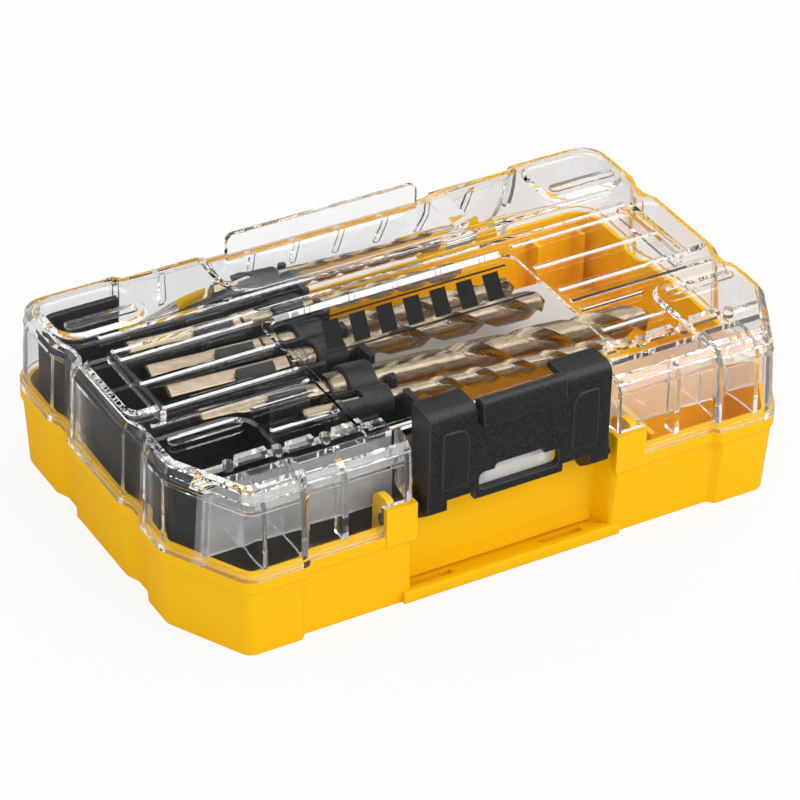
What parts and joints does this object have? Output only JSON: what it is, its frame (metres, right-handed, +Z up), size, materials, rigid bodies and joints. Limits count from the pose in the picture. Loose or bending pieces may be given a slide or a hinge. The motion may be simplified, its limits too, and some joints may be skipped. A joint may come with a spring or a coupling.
{
  "type": "drill bit case",
  "caption": "Hard storage case with a clear hinged lid, a front swing latch and an inner holder carrying twist drills in spring clips.",
  "frame": {"origin": "centre of the flat bottom face, on the surface that the case stands on", "axes": "+X along the length of the case, +Y towards the hinges at the back (the latch is at -Y), +Z up"},
  "size_m": [0.189, 0.1223, 0.0594],
  "materials": {
    "amber_plastic": "amber yellow injection-moulded plastic with a fine satin texture",
    "clear_plastic": "clear polished polycarbonate",
    "black_plastic": "black moulded plastic with a fine spark texture",
    "pin_steel": "drawn steel wire",
    "gold_steel": "bronze-gold coated ground steel",
    "printed_card": "light grey card with a printed rule"
  },
  "bodies": {
    "base": {"base_tub": "amber_plastic", "hinge_pin_left": "pin_steel", "hinge_pin_right": "pin_steel", "bit_tray": "black_plastic", "bit_rack": "black_plastic", "shank_clip_1": "black_plastic", "shank_clip_2": "black_plastic", "shank_clip_3": "black_plastic", "shank_clip_4": "black_plastic", "shank_clip_5": "black_plastic", "shank_clip_6": "black_plastic", "drill_bit_1": "gold_steel", "drill_bit_2": "gold_steel", "drill_bit_3": "gold_steel", "drill_bit_4": "gold_steel", "drill_bit_5": "gold_steel", "drill_bit_6": "gold_steel", "insert_card": "printed_card"},
    "lid": {"lid": "clear_plastic"},
    "latch": {"latch": "black_plastic"}
  },
  "joints": [
    {"name": "lid_hinge", "type": "hinge", "parent": "base", "child": "lid", "pos_m": [0, 0.0601, 0.0254], "axis": [-1, 0, 0], "range_deg": [0, 110]},
    {"name": "latch_pivot", "type": "hinge", "parent": "base", "child": "latch", "pos_m": [0, -0.0518, 0.027], "axis": [1, 0, 0], "range_deg": [0, 110]}
  ]
}
